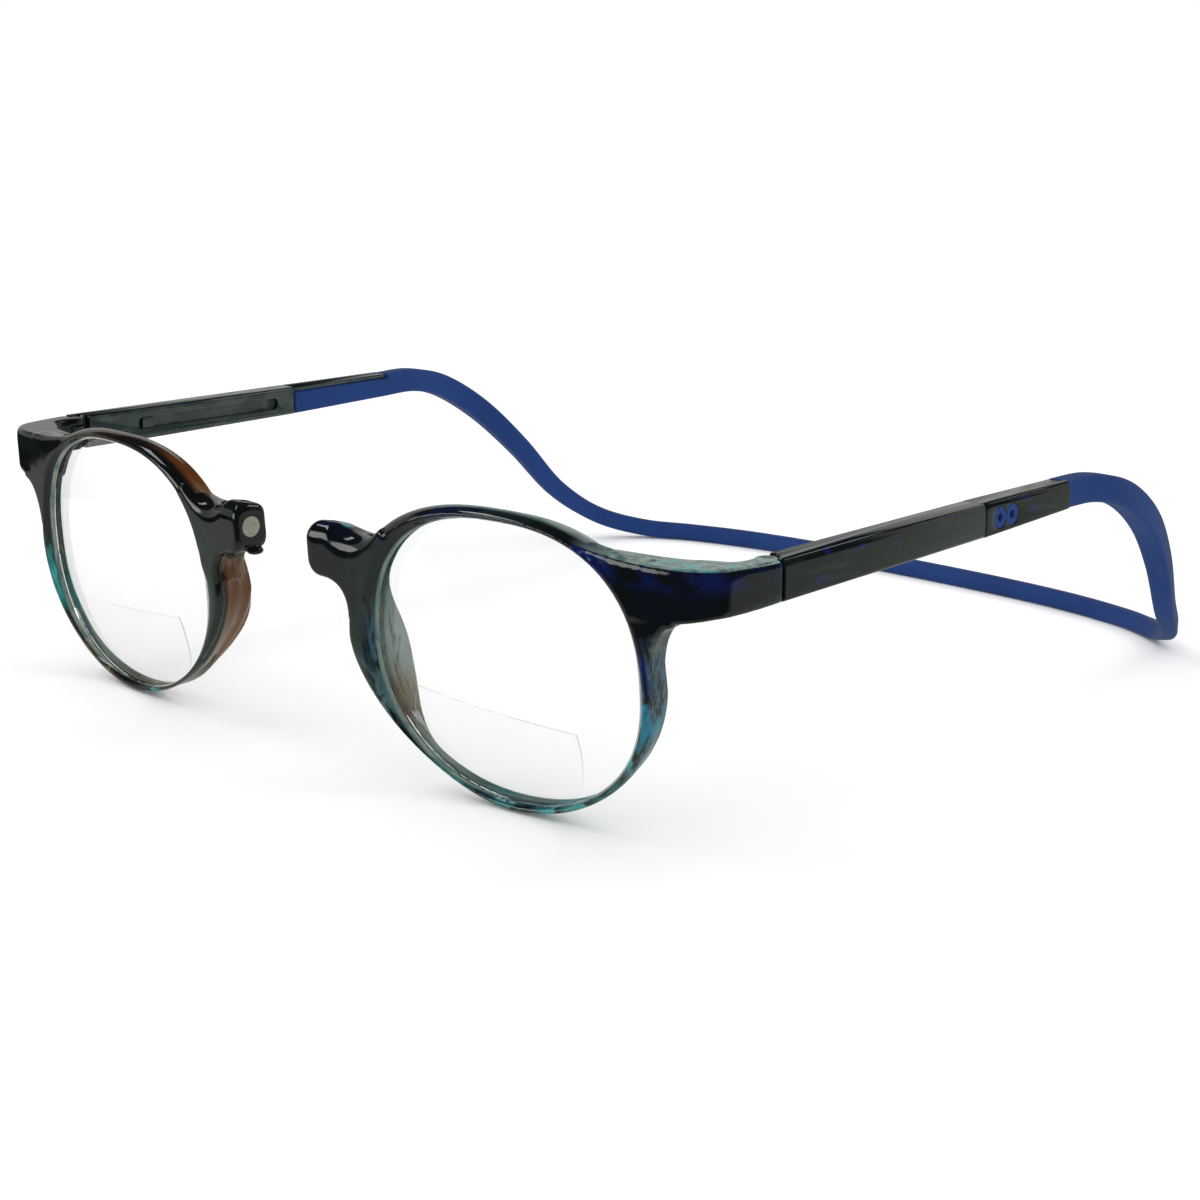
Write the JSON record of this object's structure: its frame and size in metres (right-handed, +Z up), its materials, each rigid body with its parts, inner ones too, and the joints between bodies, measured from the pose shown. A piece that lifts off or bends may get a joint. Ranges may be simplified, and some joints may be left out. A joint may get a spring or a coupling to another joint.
{
  "type": "reading glasses",
  "caption": "Bifocal glasses that part at a magnetic bridge, with sliding temples and a flexible band behind the head.",
  "frame": {"origin": "on the floor under the middle of the bounding box", "axes": "+Z up, the lenses look towards -Y, the wearer's left is +X and the two halves mirror across X"},
  "size_m": [0.1534, 0.1526, 0.041],
  "materials": {
    "frame_plastic": "gloss",
    "temple_plastic": "gloss",
    "lens": "clear",
    "magnet_steel": "satin",
    "screw_steel": "satin",
    "band_rubber": "satin"
  },
  "bodies": {
    "band_back": {"band_back_section": "band_rubber"},
    "arm_left": {"band_left": "band_rubber", "slider_left": "temple_plastic"},
    "sleeve_left": {"sleeve_left": "temple_plastic"},
    "front_left": {"front_left": "frame_plastic", "lens_left": "lens", "magnet_left": "magnet_steel", "hinge_screw_left": "screw_steel"},
    "arm_right": {"band_right": "band_rubber", "slider_right": "temple_plastic"},
    "sleeve_right": {"sleeve_right": "temple_plastic"},
    "front_right": {"front_right": "frame_plastic", "lens_right": "lens", "magnet_right": "magnet_steel", "hinge_screw_right": "screw_steel"}
  },
  "joints": [
    {"name": "band_flex_left", "type": "hinge", "parent": "band_back", "child": "arm_left", "pos_m": [0.05, 0.06956, 0], "axis": [0, 0, 1], "range_deg": [-2.9, 15], "stiffness_Nm_per_rad": 0.6},
    {"name": "temple_slide_left", "type": "slide", "parent": "arm_left", "child": "sleeve_left", "axis": [0.0244, -0.9997, 0], "range_m": [0, 0.025]},
    {"name": "temple_hinge_left", "type": "hinge", "parent": "sleeve_left", "child": "front_left", "pos_m": [0.0738, -0.05741, 0.035], "axis": [0, 0, -1], "range_deg": [0, 90]},
    {"name": "band_flex_right", "type": "hinge", "parent": "band_back", "child": "arm_right", "pos_m": [-0.05, 0.06956, 0], "axis": [0, 0, -1], "range_deg": [-2.9, 15], "stiffness_Nm_per_rad": 0.6},
    {"name": "temple_slide_right", "type": "slide", "parent": "arm_right", "child": "sleeve_right", "axis": [-0.0244, -0.9997, 0], "range_m": [0, 0.025]},
    {"name": "temple_hinge_right", "type": "hinge", "parent": "sleeve_right", "child": "front_right", "pos_m": [-0.0738, -0.05741, 0.035], "axis": [0, 0, 1], "range_deg": [0, 90]}
  ],
  "couplings": [
    {"joint": "band_flex_right", "follows": "band_flex_left", "ratio": 1}
  ]
}
